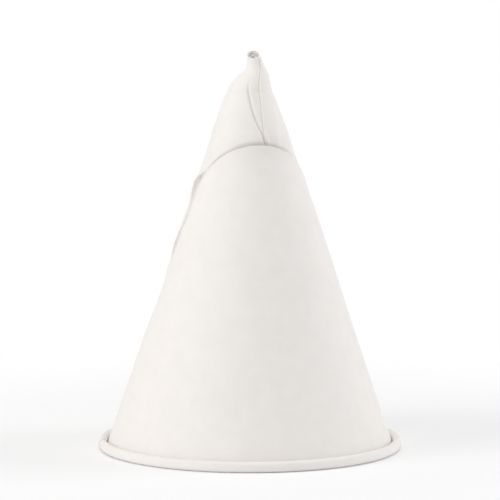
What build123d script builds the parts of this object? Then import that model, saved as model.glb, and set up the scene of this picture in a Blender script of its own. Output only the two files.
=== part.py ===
import os
from math import acos, asin, atan2, cos, degrees, hypot, radians, sin

from build123d import *

# A cone paper cup, standing on its rolled rim with the tip up. Millimetres and degrees.
# +Z is up and the origin is the middle of the rim's footprint. Angles round the cup
# are counted from the front (-Y) towards the right (+X).

# Paper
sheet = 0.16  # thickness of the paper
layers = 2  # turns of paper that the wall has below the free edge

# Cone
rim_diameter = 73.0  # over the rolled rim
height = 96.0  # floor to the end of the twisted tip
apex_rise = 6.1  # how far over the tip the cone would come to a point

# Rolled rim
curl_radius = 1.2  # outside of the roll
curl_rise = 0.4  # straight stretch that makes the roll taller than it is wide
curl_gap = 0.12  # air between one turn of the roll and the next
curl_tuck = 84.0  # how far the paper's end turns on inside the roll
curl_step = 28.0  # turn from one short flat of the roll to the next
foot_press = 0.05  # how far the roll is pressed flat where it stands

# Free edge of the outer turn of paper. It climbs the left side nearly straight and turns
# over the front near the tip. Over it the wall has one turn less.
lap_nearest = 29.5  # distance down the wall from the cone's point, where it comes nearest
lap_front = 11.0  # angle round the cup of that place
lap_fall = 0.5  # how fast the edge falls away to both sides
lap_side = 5.9  # on the flat sheet, how far the side edge would pass the cone's point
lap_side_angle = -90.7  # angle round the cup that the side edge would reach far down
lap_corner = 10.0  # how sharply the side edge turns to the front one
lap_end = 130.0  # angle round the cup where the edge turns up to the tip, at the back
lap_root = 4.0  # angle between the edge's foot and the start of the winding
lap_foot_rise = 0.5  # height of the edge's foot over the rolled rim

# Twisted tip
twist_diameter = 3.0  # over the end of the twist
twist_flare = 0.4  # radius that the twist gains on its way down
twist_height = 3.7  # how far the twist stands out of the cone, at the axis
twist_root = 1.6  # how deep it goes on in the packed paper
twist_shift = 0.85  # how far the twist stands off the axis, to the right
twist_bore = 1.3  # open core of the twist
twist_bore_depth = 2.4
shoulder_tilt = 42.0  # slope of the cone's wound top, lower on the left
plug_depth = 6.0  # paper packed below the twist, at the wall
plug_hollow = 4.0  # height of the hollow's pointed end

# The cone, its wall and its roll
wall = sheet * layers
roll_radius = curl_radius - wall / 2
roll_x = rim_diameter / 2 - curl_radius
roll_z = curl_radius - foot_press
apex_z = height + apex_rise
apex_over_roll = apex_z - roll_z
apex_to_roll = hypot(roll_x, apex_over_roll)
half = acos((curl_radius - wall) / apex_to_roll) - atan2(apex_over_roll, roll_x)
half_angle = degrees(half)
tuck_radius = roll_radius - wall - curl_gap
over_radius = (roll_radius * cos(half) + curl_rise * sin(half) + tuck_radius) / (1 + cos(half))
over_x = rim_diameter / 2 - wall / 2 - over_radius
rim_top = roll_z + curl_rise + curl_radius
shoulder_z = height - twist_height


def run_at(z):
    """Distance down the wall's outer face from the cone's point to height z."""
    return (apex_z - z) / cos(half)


def on_wall(run, level):
    """Radius and height of a point `run` down the wall, `level` proud of its outer face."""
    return (
        run * sin(half) + level * cos(half),
        apex_z - run * cos(half) + level * sin(half),
    )


def radius_at(z, level):
    """Radius at height z of the cone that lies `level` proud of the wall's outer face."""
    return ((apex_z - z) * sin(half) + level) / cos(half)


def around(angle, radius, z):
    """Point at an angle round the cup, at a radius from its axis and a height."""
    return (radius * sin(radians(angle)), -radius * cos(radians(angle)), z)


def upright(angle):
    """Plane of a section through the axis: local x is the radius and local y the height."""
    x_dir = around(angle, 1, 0)
    return Plane(origin=(0, 0, 0), x_dir=x_dir, z_dir=(x_dir[1], -x_dir[0], 0))


def bend(centre_x, centre_z, radius, first, turn):
    """Points of the short flats that the paper makes as it rolls round a centre."""
    flats = round(turn / curl_step)
    points = []
    for i in range(flats + 1):
        angle = radians(first + turn * i / flats)
        points.append((centre_x + radius * cos(angle), centre_z + radius * sin(angle)))
    return points


def lap_run(angle):
    """Distance from the cone's point to the free edge, at an angle round the cup."""
    front = lap_nearest / cos(radians(lap_fall * (angle - lap_front)))
    side = lap_side / sin(radians(angle - lap_side_angle) * sin(half))
    return (front**lap_corner + side**lap_corner) ** (1 / lap_corner)


# The paper is wound as a spiral of two half rings, the back one round the cup's axis. The
# front one's axis is moved left by half a sheet, so after one turn the paper lies a sheet
# further out. The winding starts and ends at the root, on the left.
lap_low = run_at(rim_top + lap_foot_rise)
lap_foot = lap_side_angle + degrees(asin(lap_side / lap_low) / sin(half))
root = lap_foot - lap_root
meet = root + 180.0
back_axis = Axis((0, 0, 0), (0, 0, 1))
front_axis = Axis(around(root, sheet / 2, 0), (0, 0, -1))

# What the outer turn of paper leaves bare: one sheet deep, from the free edge to the tip
with BuildPart() as bare:
    with BuildSketch(upright(meet)) as bare_section:
        with BuildLine():
            Polyline(
                on_wall(run_at(height), -sheet),
                on_wall(run_at(height), sheet),
                on_wall(lap_low, sheet),
                on_wall(lap_low, -sheet),
                close=True,
            )
        make_face()
    revolve(bare_section.sketch, axis=front_axis, revolution_arc=180)
    revolve(bare_section.sketch, axis=back_axis, revolution_arc=lap_end - meet)

    edge_steps = 44  # they lie closer together where the edge is steep
    edge_first = lap_foot - lap_root / 2
    edge_last = lap_end + lap_root
    edge_rails = []
    for level in (-8 * sheet, 8 * sheet):
        rail = []
        for i in range(edge_steps + 1):
            angle = edge_first + (edge_last - edge_first) * (i / edge_steps) ** 1.6
            rail.append(around(angle, *on_wall(lap_run(angle), level)))
        edge_rails.append(Edge.make_spline([Vector(*point) for point in rail]))
    free_edge = Face.make_surface_from_curves(*edge_rails)
    split(bisect_by=free_edge, keep=Keep.BOTTOM)

# The cup: one wound wall, its rolled rim, the free edge and the twisted tip
with BuildPart() as cup:
    with BuildSketch(upright(meet)) as wall_section:
        with BuildLine():
            Polyline(
                on_wall(run_at(height), -wall / 2),
                *bend(roll_x, roll_z, roll_radius, 180 + half_angle, 180 - half_angle),
                *bend(over_x, roll_z + curl_rise, over_radius, 0, 180 + half_angle),
                *bend(roll_x, roll_z, tuck_radius, 180 + half_angle, curl_tuck),
            )
        trace(line_width=wall)
    revolve(wall_section.sketch, axis=back_axis, revolution_arc=180)
    revolve(wall_section.sketch, axis=front_axis, revolution_arc=180)
    split(bisect_by=Plane.XY, keep=Keep.TOP)
    add(bare.part, mode=Mode.SUBTRACT)

    # Paper packed into the closed end of the cone, over a pointed hollow
    plug_base = shoulder_z - plug_depth
    plug_level = sheet / 2 - wall
    for axis, axis_x in ((back_axis, 0), (front_axis, -sheet / 2)):
        with BuildSketch(upright(meet)) as plug_section:
            with BuildLine():
                Polyline(
                    (axis_x, plug_base + plug_hollow),
                    (radius_at(plug_base, plug_level), plug_base),
                    (radius_at(height, plug_level), height),
                    (axis_x, height),
                    close=True,
                )
            make_face()
        revolve(plug_section.sketch, axis=axis, revolution_arc=180)

    # The wound top slopes down to the left
    tilt = radians(shoulder_tilt)
    split(bisect_by=Plane((0, 0, shoulder_z), z_dir=(-sin(tilt), 0, cos(tilt))), keep=Keep.BOTTOM)

    # The twist stands out of it, with its core open
    twist_base = shoulder_z - twist_root
    with BuildSketch(Plane.XZ) as twist_section:
        with BuildLine():
            Polyline(
                (twist_shift, twist_base),
                (twist_shift + twist_diameter / 2 + twist_flare, twist_base),
                (twist_shift + twist_diameter / 2, height),
                (twist_shift + twist_bore / 2, height),
                (twist_shift + twist_bore / 2, height - twist_bore_depth),
                (twist_shift, height - twist_bore_depth),
                close=True,
            )
        make_face()
    revolve(twist_section.sketch, axis=Axis((twist_shift, 0, 0), (0, 0, 1)))

cup.part.label = "cup"

os.makedirs("parts", exist_ok=True)
export_step(cup.part, "parts/cup.step")
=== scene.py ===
from math import acos, asin, atan2, cos, degrees, hypot, radians, sin, tan

import bpy
import numpy as np
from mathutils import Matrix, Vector


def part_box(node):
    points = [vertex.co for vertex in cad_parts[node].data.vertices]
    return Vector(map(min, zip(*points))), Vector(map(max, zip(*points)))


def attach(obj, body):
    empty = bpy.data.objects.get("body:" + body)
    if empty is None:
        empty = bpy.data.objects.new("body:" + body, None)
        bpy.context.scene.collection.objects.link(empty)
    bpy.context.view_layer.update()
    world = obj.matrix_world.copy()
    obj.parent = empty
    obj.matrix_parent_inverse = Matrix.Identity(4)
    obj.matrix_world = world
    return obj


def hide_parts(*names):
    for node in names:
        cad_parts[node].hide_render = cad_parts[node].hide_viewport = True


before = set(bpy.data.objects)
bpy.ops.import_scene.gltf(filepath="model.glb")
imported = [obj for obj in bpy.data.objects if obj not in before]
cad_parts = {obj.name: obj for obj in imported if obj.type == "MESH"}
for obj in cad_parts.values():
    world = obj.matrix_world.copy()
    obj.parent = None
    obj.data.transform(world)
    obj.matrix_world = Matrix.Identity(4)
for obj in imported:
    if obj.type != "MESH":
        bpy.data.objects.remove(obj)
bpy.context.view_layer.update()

# A cone paper cup on a white studio floor, mouth down. Metres; angles in degrees.
# Angles round the cup are counted from the front (-Y) towards the right (+X).

MM = 0.001

# The cup's form, as in the part
cup_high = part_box("cup")[1]
HEIGHT = cup_high.z
RIM_RADIUS = cup_high.x
SHEET = 0.16 * MM  # pitch of the wound paper
WALL = 2 * SHEET
APEX_RISE = 6.1 * MM  # from the tip up to the cone's point, where the wall would close
CURL_RADIUS = 1.2 * MM  # outside of the rolled rim
CURL_RISE = 0.4 * MM  # straight stretch that makes the roll taller than it is wide
CURL_GAP = 0.12 * MM  # between the tucked end and the roll round it
CURL_TUCK = 84.0  # angle of the end that is tucked inside
FOOT_PRESS = 0.05 * MM  # how far the roll is pressed flat underneath

# Free edge of the outer turn, as in the part
LAP_NEAREST = 29.5 * MM  # from the cone's point to the front edge, where it is nearest
LAP_FRONT = 11.0  # angle at which that is
LAP_FALL = 0.5  # how fast the front edge falls away to both sides
LAP_SIDE = 5.9 * MM  # from the cone's point to the side edge's line, on the flat sheet
LAP_SIDE_ANGLE = -90.7  # angle that this line nears further down
LAP_CORNER = 10.0  # how sharp the corner of front and side is
LAP_END = 130.0  # angle at which the free edge turns up to the tip
LAP_FOOT_RISE = 0.5 * MM  # from the top of the rim to the foot of the side edge
LAP_ROOT = 4.0  # angle from the first column of the sheet to that foot

# What follows for the rolled rim and the cone
ROLL_RADIUS = CURL_RADIUS - WALL / 2
ROLL_X = RIM_RADIUS - CURL_RADIUS
ROLL_Z = CURL_RADIUS - FOOT_PRESS
APEX_Z = HEIGHT + APEX_RISE
APEX_OVER_ROLL = APEX_Z - ROLL_Z
HALF = acos((CURL_RADIUS - WALL) / hypot(ROLL_X, APEX_OVER_ROLL)) - atan2(APEX_OVER_ROLL, ROLL_X)
HALF_ANGLE = degrees(HALF)
TUCK_RADIUS = ROLL_RADIUS - WALL - CURL_GAP
OVER_RADIUS = (ROLL_RADIUS * cos(HALF) + CURL_RISE * sin(HALF) + TUCK_RADIUS) / (1 + cos(HALF))
OVER_X = RIM_RADIUS - WALL / 2 - OVER_RADIUS
RIM_TOP = ROLL_Z + CURL_RISE + CURL_RADIUS

# The paper as it looks
THICKNESS = 0.14 * MM
STEP_OVER = 10.0  # angle in which a turn climbs over the end of the one inside
TURN_LAST = 720.0  # the sheet is wound twice, counted from its first column inwards
TURN_CORE = 1700.0  # in the tip it is rolled on, tighter and tighter

# Rows of the mesh, and angles from one of its columns to the next
WALL_ROWS = 28
CAP_ROWS = 50
NECK_ROWS = 26
TUBE_ROWS = 10
COLUMN = 3.0
COLUMN_FINE = 1.0  # where the tip's folds are
COLUMN_EDGE = 0.7  # along the steep side of the free edge
COLUMN_CORE = 12.0  # where the tip is rolled on
FOLDS_FROM = -24  # angles between which the tip's folds lie
FOLDS_TO = 62

# Unevenness of the wall and the rim
RIPPLES = (  # height in mm, waves round the cup, phase, and twist down the wall
    (0.10, 2, 0.6, 2.0),
    (0.06, 3, 2.1, -3.0),
    (0.03, 7, 0.0, 5.0),
)
RIM_WAVE = 0.05 * MM
CAP_FULL = 0.33 * MM  # how far the cap swells out
RIM_HOLD = 6 * MM  # up to here the rim holds the wall in shape
NECK_HOLD = 12 * MM  # from the neck, where the wall begins to settle towards it
NECK_SETTLE = 10 * MM  # length in which it does

# How far the free edge stands off over the front, in mm by angle
FRONT_ANGLES = (-75, -62, -40, -10, 11, 50, 75, 93, 112, 130)
FRONT_LIFTS = (0.0, 0.1, 0.3, 0.45, 0.45, 0.4, 0.2, 0.1, 0.05, 0.0)
FRONT_REACH = 3.0  # mm down from the edge in which this fades
FLARE = 0.5  # share by which the edge itself flares out further
FLARE_REACH = 0.8  # mm from the edge in which the flare fades

# Flap along the side edge, bent outwards, in mm by distance from the cone's point
FLAP_RUNS = (34, 36, 37.5, 39.5, 41.5, 44, 46, 48.5, 51.5, 54.5, 57, 60, 64, 70, 100)
# How far it stands off
FLAP_LIFTS = (0.0, 0.25, 1.2, 1.6, 1.4, 1.0, 0.75, 0.7, 0.8, 0.85, 0.7, 0.45, 0.2, 0.1, 0.0)
# How far its edge reaches out over the bare side
FLAP_SLIDES = (0.0, 0.5, 1.6, 1.6, 1.4, 1.1, 0.9, 0.9, 1.3, 1.7, 1.6, 1.1, 0.5, 0.0, 0.0)
# How far its foot is drawn after the edge, so that the flap stands upright
FLAP_FEET = (0.0, 0.4, 1.3, 1.1, 0.95, 0.65, 0.6, 0.7, 1.0, 1.15, 0.8, 0.4, 0.1, 0.0, 0.0)
FLAP_BEND = 1.2  # from the edge to where the flap lies on the wall again
FLAP_FOOT = 1.3  # from the edge to the flap's foot
FLAP_WIDTH = 3.0  # in which the sideways shift fades

# Valley of the inner turn along the free edge
SEAT_DEPTH = 0.42 * MM
SEAT_REACH = 0.75  # mm to each side in which it fades
SEAT_MORE = 1.1  # share by which it is deeper on the right, and half of it by which it is wider
SEAT_CORNER = 2.6  # share by which it is deeper at the corner on the left

# Fold lines of the tip: distances from the cone's point in mm, and the angles there
LEFT_FOLD = ((11, 15, 18, 21, 23.5, 26, 28, 30), (-14, -9, -3, 3, 8.5, 15.5, 20.5, 24))
RIGHT_FOLD = ((7.5, 8.6, 12.4, 18, 23.5, 27.2, 29), (50, 48, 27, 26.4, 23.4, 22.5, 22))
CREASE = ((19, 21.7, 24.1, 28.4, 30), (55, 53.7, 51.8, 44.7, 43))

# Neck and rolled end of the tip, in mm: left side's place and height, right side's place and height
RINGS = (
    (-5.20, 86.8, 5.20, 86.8),
    (-4.75, 87.7, 5.00, 87.9),
    (-4.20, 88.5, 4.82, 88.9),
    (-3.35, 89.4, 4.62, 89.9),
    (-2.35, 90.3, 4.24, 90.9),
    (-1.45, 91.1, 3.85, 91.7),
    (-0.90, 91.9, 3.50, 92.5),
    (-0.65, 93.0, 3.05, 93.5),
    (-0.62, 94.2, 2.68, 94.5),
    (-0.70, 95.9, 2.25, 95.9),
)
TIP_CUT = 1.6 * MM  # the rolled end is cut at a slant, lower at the front
CORE_SINK = 0.9 * MM  # how far the rolled core ends below the turn round it
CORE_LOW = 0.1 * MM  # radius of the open core, at its foot and at its top
CORE_HIGH = 0.55 * MM

# Looks
WHITE = (1, 1, 1, 1)
PAPER_DARK = (0.845, 0.813, 0.785, 1)
PAPER_LIGHT = (0.875, 0.843, 0.815, 1)
FLOOR_WHITE = (0.96, 0.96, 0.96, 1)
FLOOR_SIZE = 6.0
FLOOR_NEAR = 0.045  # from the cup's middle, where the floor begins to turn plain white
FLOOR_FAR = 0.15  # where it is plain white
SKY_STRENGTH = 0.51

# Lights: name, azimuth, elevation, distance, size, power and colour
LIGHTS = (
    ("key_left", -62, 18, 1.0, 0.6, 3.7, (1.0, 0.99, 0.98)),
    ("fill_right", 98, 15, 1.2, 0.7, 4.7, (0.97, 0.985, 1.0)),
    ("top", 0, 88, 1.0, 0.9, 3.6, (1.0, 1.0, 1.0)),
)

CAMERA_ELEVATION = 8
CAMERA_DISTANCE = 1.5
CAMERA_SENSOR = 36.0
SEEN_HEIGHT = 0.120  # height of the picture at the cup


def smooth(x):
    """Soft step from 0 to 1."""
    x = np.clip(x, 0, 1)
    return x * x * (3 - 2 * x)


def bell(x, y=0.0):
    """Soft bump of height 1 that fades to all sides."""
    return np.exp(-(x ** 2) - y ** 2)


def run_at(z):
    """Distance down the wall's outer face from the cone's point to height z."""
    return (APEX_Z - z) / cos(HALF)


def front_edge(angle):
    """Distance from the cone's point to the front part of the free edge, at an angle round the cup."""
    return LAP_NEAREST / np.cos(np.radians(LAP_FALL * (angle - LAP_FRONT)))


def side_slope(angle):
    """How fast the flat sheet's points come away from the line of the side edge, down the wall."""
    return np.sin(np.radians(np.clip(angle - LAP_SIDE_ANGLE, 1, 250)) * sin(HALF))


def lap_run(angle):
    """Distance from the cone's point to the free edge, at an angle round the cup."""
    side = LAP_SIDE / side_slope(angle)
    return (front_edge(angle) ** LAP_CORNER + side ** LAP_CORNER) ** (1 / LAP_CORNER)


LAP_LOW = run_at(RIM_TOP + LAP_FOOT_RISE)
ROOT = LAP_SIDE_ANGLE + degrees(asin(LAP_SIDE / LAP_LOW) / sin(HALF)) - LAP_ROOT  # first column's angle
TURN_END = LAP_END - ROOT  # turn at which the free edge runs up to the tip
CAP_LOW = float(lap_run(LAP_END))
NECK_RUN = run_at(RINGS[0][1] * MM)


def roll_path():
    """Wall's middle line through the rolled rim: radius, height and the way to the outside."""
    rows = []
    # Middle, radius, first angle, turn and steps of each arc
    arcs = (
        (ROLL_X, ROLL_Z, TUCK_RADIUS, 180 + HALF_ANGLE + CURL_TUCK, -CURL_TUCK, 5),
        (OVER_X, ROLL_Z + CURL_RISE, OVER_RADIUS, 180 + HALF_ANGLE, -180 - HALF_ANGLE, 12),
        (ROLL_X, ROLL_Z, ROLL_RADIUS, 360, HALF_ANGLE - 180, 12),
    )
    for x, z, radius, first, turn, steps in arcs:
        for i in range(steps + 1):
            a = radians(first + turn * i / steps)
            rows.append((x + radius * cos(a), z + radius * sin(a), -cos(a), -sin(a)))
    return np.array(rows)


def rim_wave(angle):
    """How the rolled rim waves, always inwards."""
    return -RIM_WAVE * (1 + np.sin(np.radians(3 * angle + 40)) * np.cos(np.radians(2 * angle)))


def ripple(angle, run):
    """Gentle unevenness of the wound wall, fuller in the middle and hollow below the left corner."""
    a = np.radians(angle)
    depth = run / run_at(0)
    waves = sum(
        height * np.sin(count * a + phase + twist * depth) for height, count, phase, twist in RIPPLES
    )
    full = (0.4 + 0.2 * np.sin(a)) * bell((run / MM - 48) / 26)
    hollow = -0.55 * bell((angle + 92) / 26, (run / MM - 68) / 7)
    return MM * (depth * waves + full + hollow)


def cap_full(run):
    """How the cap over the free edge swells out a little."""
    return CAP_FULL * smooth((run / MM - 13) / 7.5) * (1 - smooth((run / MM - 26) / 7))


def past_edge(angle, run):
    """Distance in mm past the free edge, on to the outer turn; negative on the bare side of it."""
    slope = side_slope(angle)
    front = (front_edge(angle) / run) ** LAP_CORNER
    side = (LAP_SIDE / slope / run) ** LAP_CORNER
    across = (front + side * slope) / (front + side)
    return (1 - (front + side) ** (1 / LAP_CORNER)) * across * run / MM


def beside(angle, run):
    """Distance in mm from the side edge and its rounded corner, on the outer turn."""
    share = np.clip(1 - (front_edge(angle) / run) ** LAP_CORNER, 0.001, 1)
    return np.clip(run * side_slope(angle) - LAP_SIDE * share ** (-1 / LAP_CORNER), 0, None) / MM


def seat(angle, run):
    """How the inner turn draws in along the free edge of the outer one, more towards both sides."""
    corner = smooth((-30 - angle) / 20) * (1 - smooth((run / MM - 41) / 6))

    # On the left the valley goes with the edge of the flap
    shift = MM * np.interp(run / MM, FLAP_RUNS, FLAP_SLIDES) * smooth((-20 - angle) / 15)
    angle = angle + np.degrees(shift / (run * sin(HALF)))
    more = SEAT_MORE * smooth((angle - 35) / 35)
    depth = SEAT_DEPTH * (1 + more + SEAT_CORNER * corner)
    reach = SEAT_REACH * (1 + more / 2)
    return -depth * bell((past_edge(angle, run) + 0.1) / reach)


def lift(angle, run):
    """How far the outer turn stands off near its free edge, which flares out at the last."""
    below = np.clip(run - front_edge(angle), 0, None) / MM
    flare = 1 + FLARE * np.exp(-np.clip(past_edge(angle, run), 0, None) / FLARE_REACH)
    front = np.interp(angle, FRONT_ANGLES, FRONT_LIFTS) * np.exp(-(below / FRONT_REACH) ** 1.4) * flare
    side = np.interp(run / MM, FLAP_RUNS, FLAP_LIFTS) * (1 - smooth((beside(angle, run) - 0.1) / FLAP_BEND))
    return MM * (front ** 3 + side ** 3) ** (1 / 3)


def slide(angle, run):
    """How far the flap moves sideways over the bare side: its edge, and its foot after it."""
    away = beside(angle, run)
    edge = np.interp(run / MM, FLAP_RUNS, FLAP_SLIDES) * (1 - smooth((away - 0.4) / FLAP_WIDTH))
    foot = smooth(away / FLAP_FOOT) * (1 - smooth((away - FLAP_FOOT) / FLAP_WIDTH))
    return MM * (edge + np.interp(run / MM, FLAP_RUNS, FLAP_FEET) * foot)


def line_at(run, line):
    """Angle of a fold line at a distance from the cone's point, with its corners rounded."""
    runs, angles = line
    return sum(np.interp(run / MM + shift, runs, angles) for shift in (-1.5, -0.5, 0.5, 1.5)) / 4


def right_of(line, angle, run):
    """Distance in mm round the cup from a fold line, positive to the right of it."""
    return np.radians(angle - line_at(run, line)) * (run * sin(HALF)) / MM


def folds(angle, run):
    """The gathered paper of the tip: flaps that end in steps, and a hollow over the free edge."""
    low = 1 - smooth((run / MM - 29) / 4)

    # Flap on the left, whose edge runs down to the free edge along a groove
    away = -right_of(LEFT_FOLD, angle, run)
    high = smooth((run / MM - 13) / 5)
    flap = 0.22 * smooth(away / 0.3 + 0.5) * np.exp(-np.clip(away, 0, None) / 2.6)
    groove = -0.32 * bell((away + 0.25) / 0.3)
    ridge = 0.12 * bell((away + 1.0) / 0.45)
    out = (flap + groove + ridge) * high * low

    # Flap on the right
    away = right_of(RIGHT_FOLD, angle, run)
    flap = 0.2 * smooth(away / 0.25 + 0.5) * np.exp(-np.clip(away, 0, None) / 2.0)
    groove = -0.2 * bell((away + 0.15) / 0.24)
    out = out + (flap + groove) * low * smooth((run / MM - 6.8) / 1.6)

    # Crease further right
    away = right_of(CREASE, angle, run)
    fade = smooth((run / MM - 18) / 3) * low
    out = out + 0.13 * fade * np.exp(-np.abs(away) / np.where(away < 0, 1.2, 0.35))

    # Hollow just over the free edge
    out = out - 0.35 * bell((angle - 27) / 12, (run / MM - 28.6) / 3.4)
    return out * MM


def column_turns():
    """Turns of the sheet's columns, closer together where the tip's folds and the side edge are."""
    turns = [0.0]
    while turns[-1] < TURN_CORE:
        turn = turns[-1]
        step = COLUMN
        if FOLDS_FROM < ROOT + turn - 360 < FOLDS_TO:
            step = COLUMN_FINE
        # The side edge, and the turn under it
        if turn < 25 or 352 < turn < 386:
            step = COLUMN_EDGE
        if turn >= TURN_LAST:
            step = COLUMN_CORE
        for stop in (TURN_END, TURN_LAST):
            if turn < stop < turn + step * 1.5:
                step = stop - turn
        turns.append(turn + step)
    return np.array(turns)


def split_run(turn, angle):
    """Where a column's wall rows end and its cap rows begin: along the free edge if it has one."""
    edge = np.minimum(lap_run(angle), LAP_LOW)
    back = CAP_LOW + (LAP_LOW - CAP_LOW) * smooth((turn - 335) / 25)
    split = np.where(turn < 360 + TURN_END, edge, CAP_LOW)
    split = np.where((turn >= TURN_END) & (turn < 360), back, split)
    return np.where(turn < LAP_ROOT, LAP_LOW, split)


def ring_path():
    """Rings of the neck on smooth curves: middles and radii across, and heights left and right."""
    rings = np.array(RINGS) * MM
    spans = len(rings) - 1
    places = np.linspace(0, spans - 1, NECK_ROWS)[1:]
    places = np.append(places, np.linspace(spans - 1, spans, TUBE_ROWS + 1)[1:])
    first = np.minimum(places.astype(int), spans - 1)
    f = (places - first)[:, None]
    p0 = rings[np.maximum(first - 1, 0)]
    p1 = rings[first]
    p2 = rings[first + 1]
    p3 = rings[np.minimum(first + 2, spans)]
    way = p1 + 0.5 * f * (p2 - p0 + f * (2 * p0 - 5 * p1 + 4 * p2 - p3 + f * (3 * (p1 - p2) + p3 - p0)))
    middle = (way[:, 0] + way[:, 2]) / 2
    radius = (way[:, 2] - way[:, 0]) / 2
    return middle, radius, way[:, 1], way[:, 3]


def rim_rows(angle, offset):
    """Rolled rim, a little wavy: radii and heights by column and row."""
    path = roll_path()[None, :, :]
    r = path[:, :, 0] + offset * path[:, :, 2] + rim_wave(angle)
    z = path[:, :, 1] + offset * path[:, :, 3]
    return r, z


def wall_rows(turn, angle, offset):
    """Wall and cap, held by the roll at the foot and by the neck at the top: radii, heights, angles."""
    foot_run = run_at(roll_path()[-1, 1]) - WALL / 2 * tan(HALF)
    split = split_run(turn, angle)
    low_share = 1 - (1 - np.linspace(0, 1, WALL_ROWS + 1)[1:]) ** 2
    high_share = np.linspace(0, 1, CAP_ROWS + 1)[1:] ** 1.4
    run = np.hstack([
        foot_run + (split - foot_run) * low_share[None, :],
        split + (NECK_RUN - split) * high_share[None, :],
    ])
    free = smooth((foot_run - run) / RIM_HOLD)
    settle = smooth((NECK_RUN + NECK_HOLD - run) / NECK_SETTLE)
    out = ripple(angle, run) * free * (1 - settle) + cap_full(run)

    # The turn with the free edge stands off, the ones under it have the folds and the valley
    outer = turn < TURN_END
    out = out + np.where(outer, lift(angle, run) * free, 0)
    out = out + np.where(turn > 360, folds(angle, run), 0)
    bare = smooth((turn - 350) / 10) * smooth((360 + TURN_END - turn) / 12)
    out = out + seat(angle, run) * bare * free

    level = offset - WALL / 2 + out
    r = run * sin(HALF) + level * cos(HALF) + rim_wave(angle) * (1 - free)
    z = APEX_Z - run * cos(HALF) + level * sin(HALF)
    back = np.where(outer, slide(angle, run), 0) / (run * sin(HALF))
    return r, z, np.radians(angle) - back


def tip_rows(turn, angle, offset):
    """Neck and rolled end, whose paper is rolled on inwards: radii, heights and middles across."""
    middle, radius, left, right = (v[None, :] for v in ring_path())
    side = (1 + np.sin(np.radians(angle))) / 2
    z = left + (right - left) * side
    tube = np.zeros(z.shape[1])
    tube[-TUBE_ROWS:] = np.linspace(0, 1, TUBE_ROWS + 1)[1:]
    rolled = np.clip((turn - TURN_LAST) / (TURN_CORE - TURN_LAST), 0, 1)
    cut = TIP_CUT * (1 + np.cos(np.radians(angle))) / 2 + CORE_SINK * smooth(rolled * 3)
    z = z - cut * tube[None, :]
    core = CORE_LOW + (CORE_HIGH - CORE_LOW) * np.linspace(0, 1, z.shape[1])[None, :]
    out = np.where(turn > 360, folds(angle, run_at(z)), 0) * (1 - smooth(rolled * 4))
    r = radius - SHEET / 2 + offset + out + cap_full(run_at(z))
    r = r + (core - r) * rolled
    return r, z, middle + 0 * r


def sheet_has(turn, rim_count, row_count):
    """Which points the sheet has: the outer turn ends at its free edge, the core is in the tip only."""
    rows = np.arange(row_count)[None, :]
    body = rim_count + WALL_ROWS
    neck = body + CAP_ROWS + NECK_ROWS // 2
    has = (rows < body) & (turn <= TURN_LAST)
    has = has | ((rows >= body) & (turn >= TURN_END) & (turn <= TURN_LAST))
    return has | ((rows >= neck) & (turn > TURN_LAST))


def sheet_grid():
    """Middle surface of the sheet: points by column and row, and which of them the sheet has."""
    turn = column_turns()[:, None]
    angle = (ROOT + turn + 180) % 360 - 180
    offset = SHEET * (1.5 - smooth(turn / STEP_OVER) - smooth((turn - 360) / STEP_OVER))

    rim_r, rim_z = rim_rows(angle, offset)
    wall_r, wall_z, wall_a = wall_rows(turn, angle, offset)
    tip_r, tip_z, tip_x = tip_rows(turn, angle, offset)
    r = np.hstack([rim_r, wall_r, tip_r])
    z = np.hstack([rim_z, wall_z, tip_z])
    a = np.hstack([np.radians(angle) + 0 * rim_r, wall_a, np.radians(angle) + 0 * tip_r])
    across = np.hstack([0 * rim_r, 0 * wall_r, tip_x])
    points = np.stack([across + r * np.sin(a), -r * np.cos(a), z], axis=2)
    return points, sheet_has(turn, rim_r.shape[1], r.shape[1])


def solid_sheet(name, points, has, thickness):
    """Closed mesh of a sheet, from the grid of its middle surface."""
    index = np.full(has.shape, -1)
    index[has] = np.arange(has.sum())
    middle = points[has]
    corners = [index[:-1, :-1], index[1:, :-1], index[1:, 1:], index[:-1, 1:]]
    whole = np.all([c >= 0 for c in corners], axis=0)
    quads = np.stack([c[whole] for c in corners], axis=1)

    # Way to the outside at each point
    p = middle[quads]
    facing = np.cross(p[:, 2] - p[:, 0], p[:, 3] - p[:, 1])
    normal = np.zeros_like(middle)
    for k in range(4):
        np.add.at(normal, quads[:, k], facing)
    normal /= np.linalg.norm(normal, axis=1)[:, None]
    skins = np.vstack([middle + normal * thickness / 2, middle - normal * thickness / 2])
    skins[:, 2] = np.maximum(skins[:, 2], 0)

    # Cut edges: the sides of the quads that have no neighbour
    sides = np.vstack([quads[:, [k, (k + 1) % 4]] for k in range(4)])
    keys = sides.min(axis=1) * len(middle) + sides.max(axis=1)
    _, place, count = np.unique(keys, return_index=True, return_counts=True)
    rim = sides[place[count == 1]]
    n = len(middle)
    strip = np.stack([rim[:, 1], rim[:, 0], rim[:, 0] + n, rim[:, 1] + n], axis=1)
    faces = np.vstack([quads, quads[:, ::-1] + n, strip])

    mesh = bpy.data.meshes.new(name)
    mesh.from_pydata(skins.tolist(), [], faces.tolist())
    flat = np.zeros(len(faces), dtype=bool)
    flat[2 * len(quads):] = True
    mesh.polygons.foreach_set("use_smooth", ~flat)
    mesh.update()
    piece = bpy.data.objects.new(name, mesh)
    bpy.context.collection.objects.link(piece)
    return piece


def shader_tree(owner):
    """Node tree of a material or the world, without the nodes it comes with."""
    owner.use_nodes = True
    owner.node_tree.nodes.clear()
    return owner.node_tree


def node(tree, kind, **inputs):
    """New node with some inputs set; an underscore in a name stands for a space."""
    made = tree.nodes.new(kind)
    for socket, value in inputs.items():
        made.inputs[socket.replace("_", " ")].default_value = value
    return made


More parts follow.
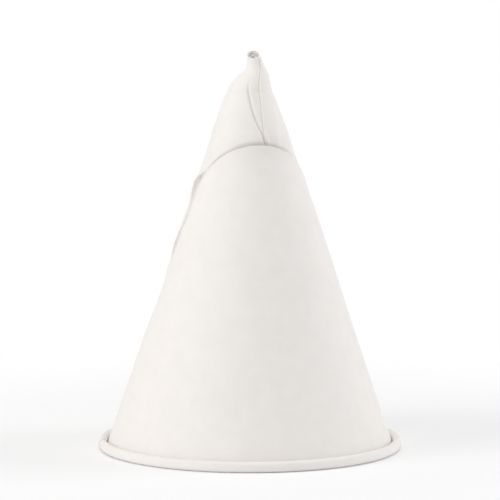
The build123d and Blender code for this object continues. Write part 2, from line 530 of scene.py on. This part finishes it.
def paper_material():
    """Warm white uncoated paper: a faint cloudiness, fibres and a soft tooth."""
    material = bpy.data.materials.new("paper")
    tree = shader_tree(material)
    link = tree.links.new
    place = node(tree, "ShaderNodeTexCoord")

    cloud = node(tree, "ShaderNodeTexNoise", Scale=260.0, Detail=4.0, Roughness=0.6)
    link(place.outputs["Object"], cloud.inputs["Vector"])
    tone = node(tree, "ShaderNodeValToRGB")
    tone.color_ramp.elements[0].position = 0.3
    tone.color_ramp.elements[0].color = PAPER_DARK
    tone.color_ramp.elements[1].position = 0.7
    tone.color_ramp.elements[1].color = PAPER_LIGHT
    link(cloud.outputs["Fac"], tone.inputs["Fac"])

    fibre = node(tree, "ShaderNodeTexNoise", Scale=2600.0, Detail=5.0, Roughness=0.7, Distortion=1.2)
    link(place.outputs["Object"], fibre.inputs["Vector"])
    tooth = node(tree, "ShaderNodeBump", Strength=0.22, Distance=0.00005)
    link(fibre.outputs["Fac"], tooth.inputs["Height"])

    paper = node(tree, "ShaderNodeBsdfPrincipled", Roughness=0.85, Specular_IOR_Level=0.25)
    link(tone.outputs["Color"], paper.inputs["Base Color"])
    link(tooth.outputs["Normal"], paper.inputs["Normal"])
    out = node(tree, "ShaderNodeOutputMaterial")
    link(paper.outputs["BSDF"], out.inputs["Surface"])
    return material


def floor_material():
    """White studio floor that keeps shadows near the cup and is plain white far from it."""
    material = bpy.data.materials.new("floor")
    tree = shader_tree(material)
    link = tree.links.new
    place = node(tree, "ShaderNodeTexCoord")
    reach = node(tree, "ShaderNodeVectorMath")
    reach.operation = "LENGTH"
    link(place.outputs["Object"], reach.inputs[0])
    far = node(tree, "ShaderNodeMapRange", From_Min=FLOOR_NEAR, From_Max=FLOOR_FAR)
    far.interpolation_type = "SMOOTHSTEP"
    link(reach.outputs["Value"], far.inputs["Value"])
    path = node(tree, "ShaderNodeLightPath")
    both = node(tree, "ShaderNodeMath")
    both.operation = "MULTIPLY"
    link(far.outputs["Result"], both.inputs[0])
    link(path.outputs["Is Camera Ray"], both.inputs[1])

    matt = node(tree, "ShaderNodeBsdfDiffuse", Color=FLOOR_WHITE)
    white = node(tree, "ShaderNodeEmission", Color=WHITE, Strength=1.0)
    mix = node(tree, "ShaderNodeMixShader")
    link(both.outputs["Value"], mix.inputs["Fac"])
    link(matt.outputs["BSDF"], mix.inputs[1])
    link(white.outputs["Emission"], mix.inputs[2])
    out = node(tree, "ShaderNodeOutputMaterial")
    link(mix.outputs["Shader"], out.inputs["Surface"])
    return material


def make_cup():
    points, has = sheet_grid()
    cup = solid_sheet("cup_paper", points, has, THICKNESS)
    cup.data.materials.append(paper_material())
    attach(cup, "root")
    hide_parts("cup")


def make_floor():
    size = FLOOR_SIZE
    mesh = bpy.data.meshes.new("floor")
    corners = [(-size, -size, 0), (size, -size, 0), (size, size, 0), (-size, size, 0)]
    mesh.from_pydata(corners, [], [(0, 1, 2, 3)])
    floor = bpy.data.objects.new("floor", mesh)
    bpy.context.collection.objects.link(floor)
    floor.data.materials.append(floor_material())


def place_round(thing, azimuth, elevation, distance):
    """Sets a thing on a sphere round the cup's middle and aims it there; azimuth 90 is the right."""
    a, e = radians(azimuth), radians(elevation)
    middle = Vector((0, 0, HEIGHT / 2))
    thing.location = middle + distance * Vector((sin(a) * cos(e), -cos(a) * cos(e), sin(e)))
    thing.rotation_mode = "QUATERNION"
    thing.rotation_quaternion = (middle - thing.location).to_track_quat("-Z", "Y")


def make_light(name, azimuth, elevation, distance, size, power, colour):
    """Square soft light aimed at the cup."""
    data = bpy.data.lights.new(name, "AREA")
    data.shape = "SQUARE"
    data.size = size
    data.energy = power
    data.color = colour
    lamp = bpy.data.objects.new(name, data)
    bpy.context.collection.objects.link(lamp)
    place_round(lamp, azimuth, elevation, distance)


def make_world():
    """Soft light from all round, seen as plain white behind the cup."""
    world = bpy.data.worlds.new("studio")
    bpy.context.scene.world = world
    tree = shader_tree(world)
    link = tree.links.new
    path = node(tree, "ShaderNodeLightPath")
    around = node(tree, "ShaderNodeBackground", Color=WHITE, Strength=SKY_STRENGTH)
    seen = node(tree, "ShaderNodeBackground", Color=WHITE, Strength=1.0)
    mix = node(tree, "ShaderNodeMixShader")
    link(path.outputs["Is Camera Ray"], mix.inputs["Fac"])
    link(around.outputs["Background"], mix.inputs[1])
    link(seen.outputs["Background"], mix.inputs[2])
    out = node(tree, "ShaderNodeOutputWorld")
    link(mix.outputs["Shader"], out.inputs["Surface"])


def make_camera():
    """Long lens from the front, a little above the cup."""
    data = bpy.data.cameras.new("camera")
    data.sensor_width = CAMERA_SENSOR
    data.lens = CAMERA_SENSOR * CAMERA_DISTANCE / SEEN_HEIGHT
    camera = bpy.data.objects.new("camera", data)
    bpy.context.collection.objects.link(camera)
    place_round(camera, 0, CAMERA_ELEVATION, CAMERA_DISTANCE)
    bpy.context.scene.camera = camera


make_cup()
make_floor()
for light in LIGHTS:
    make_light(*light)
make_world()
make_camera()
bpy.context.scene.view_settings.view_transform = "Standard"
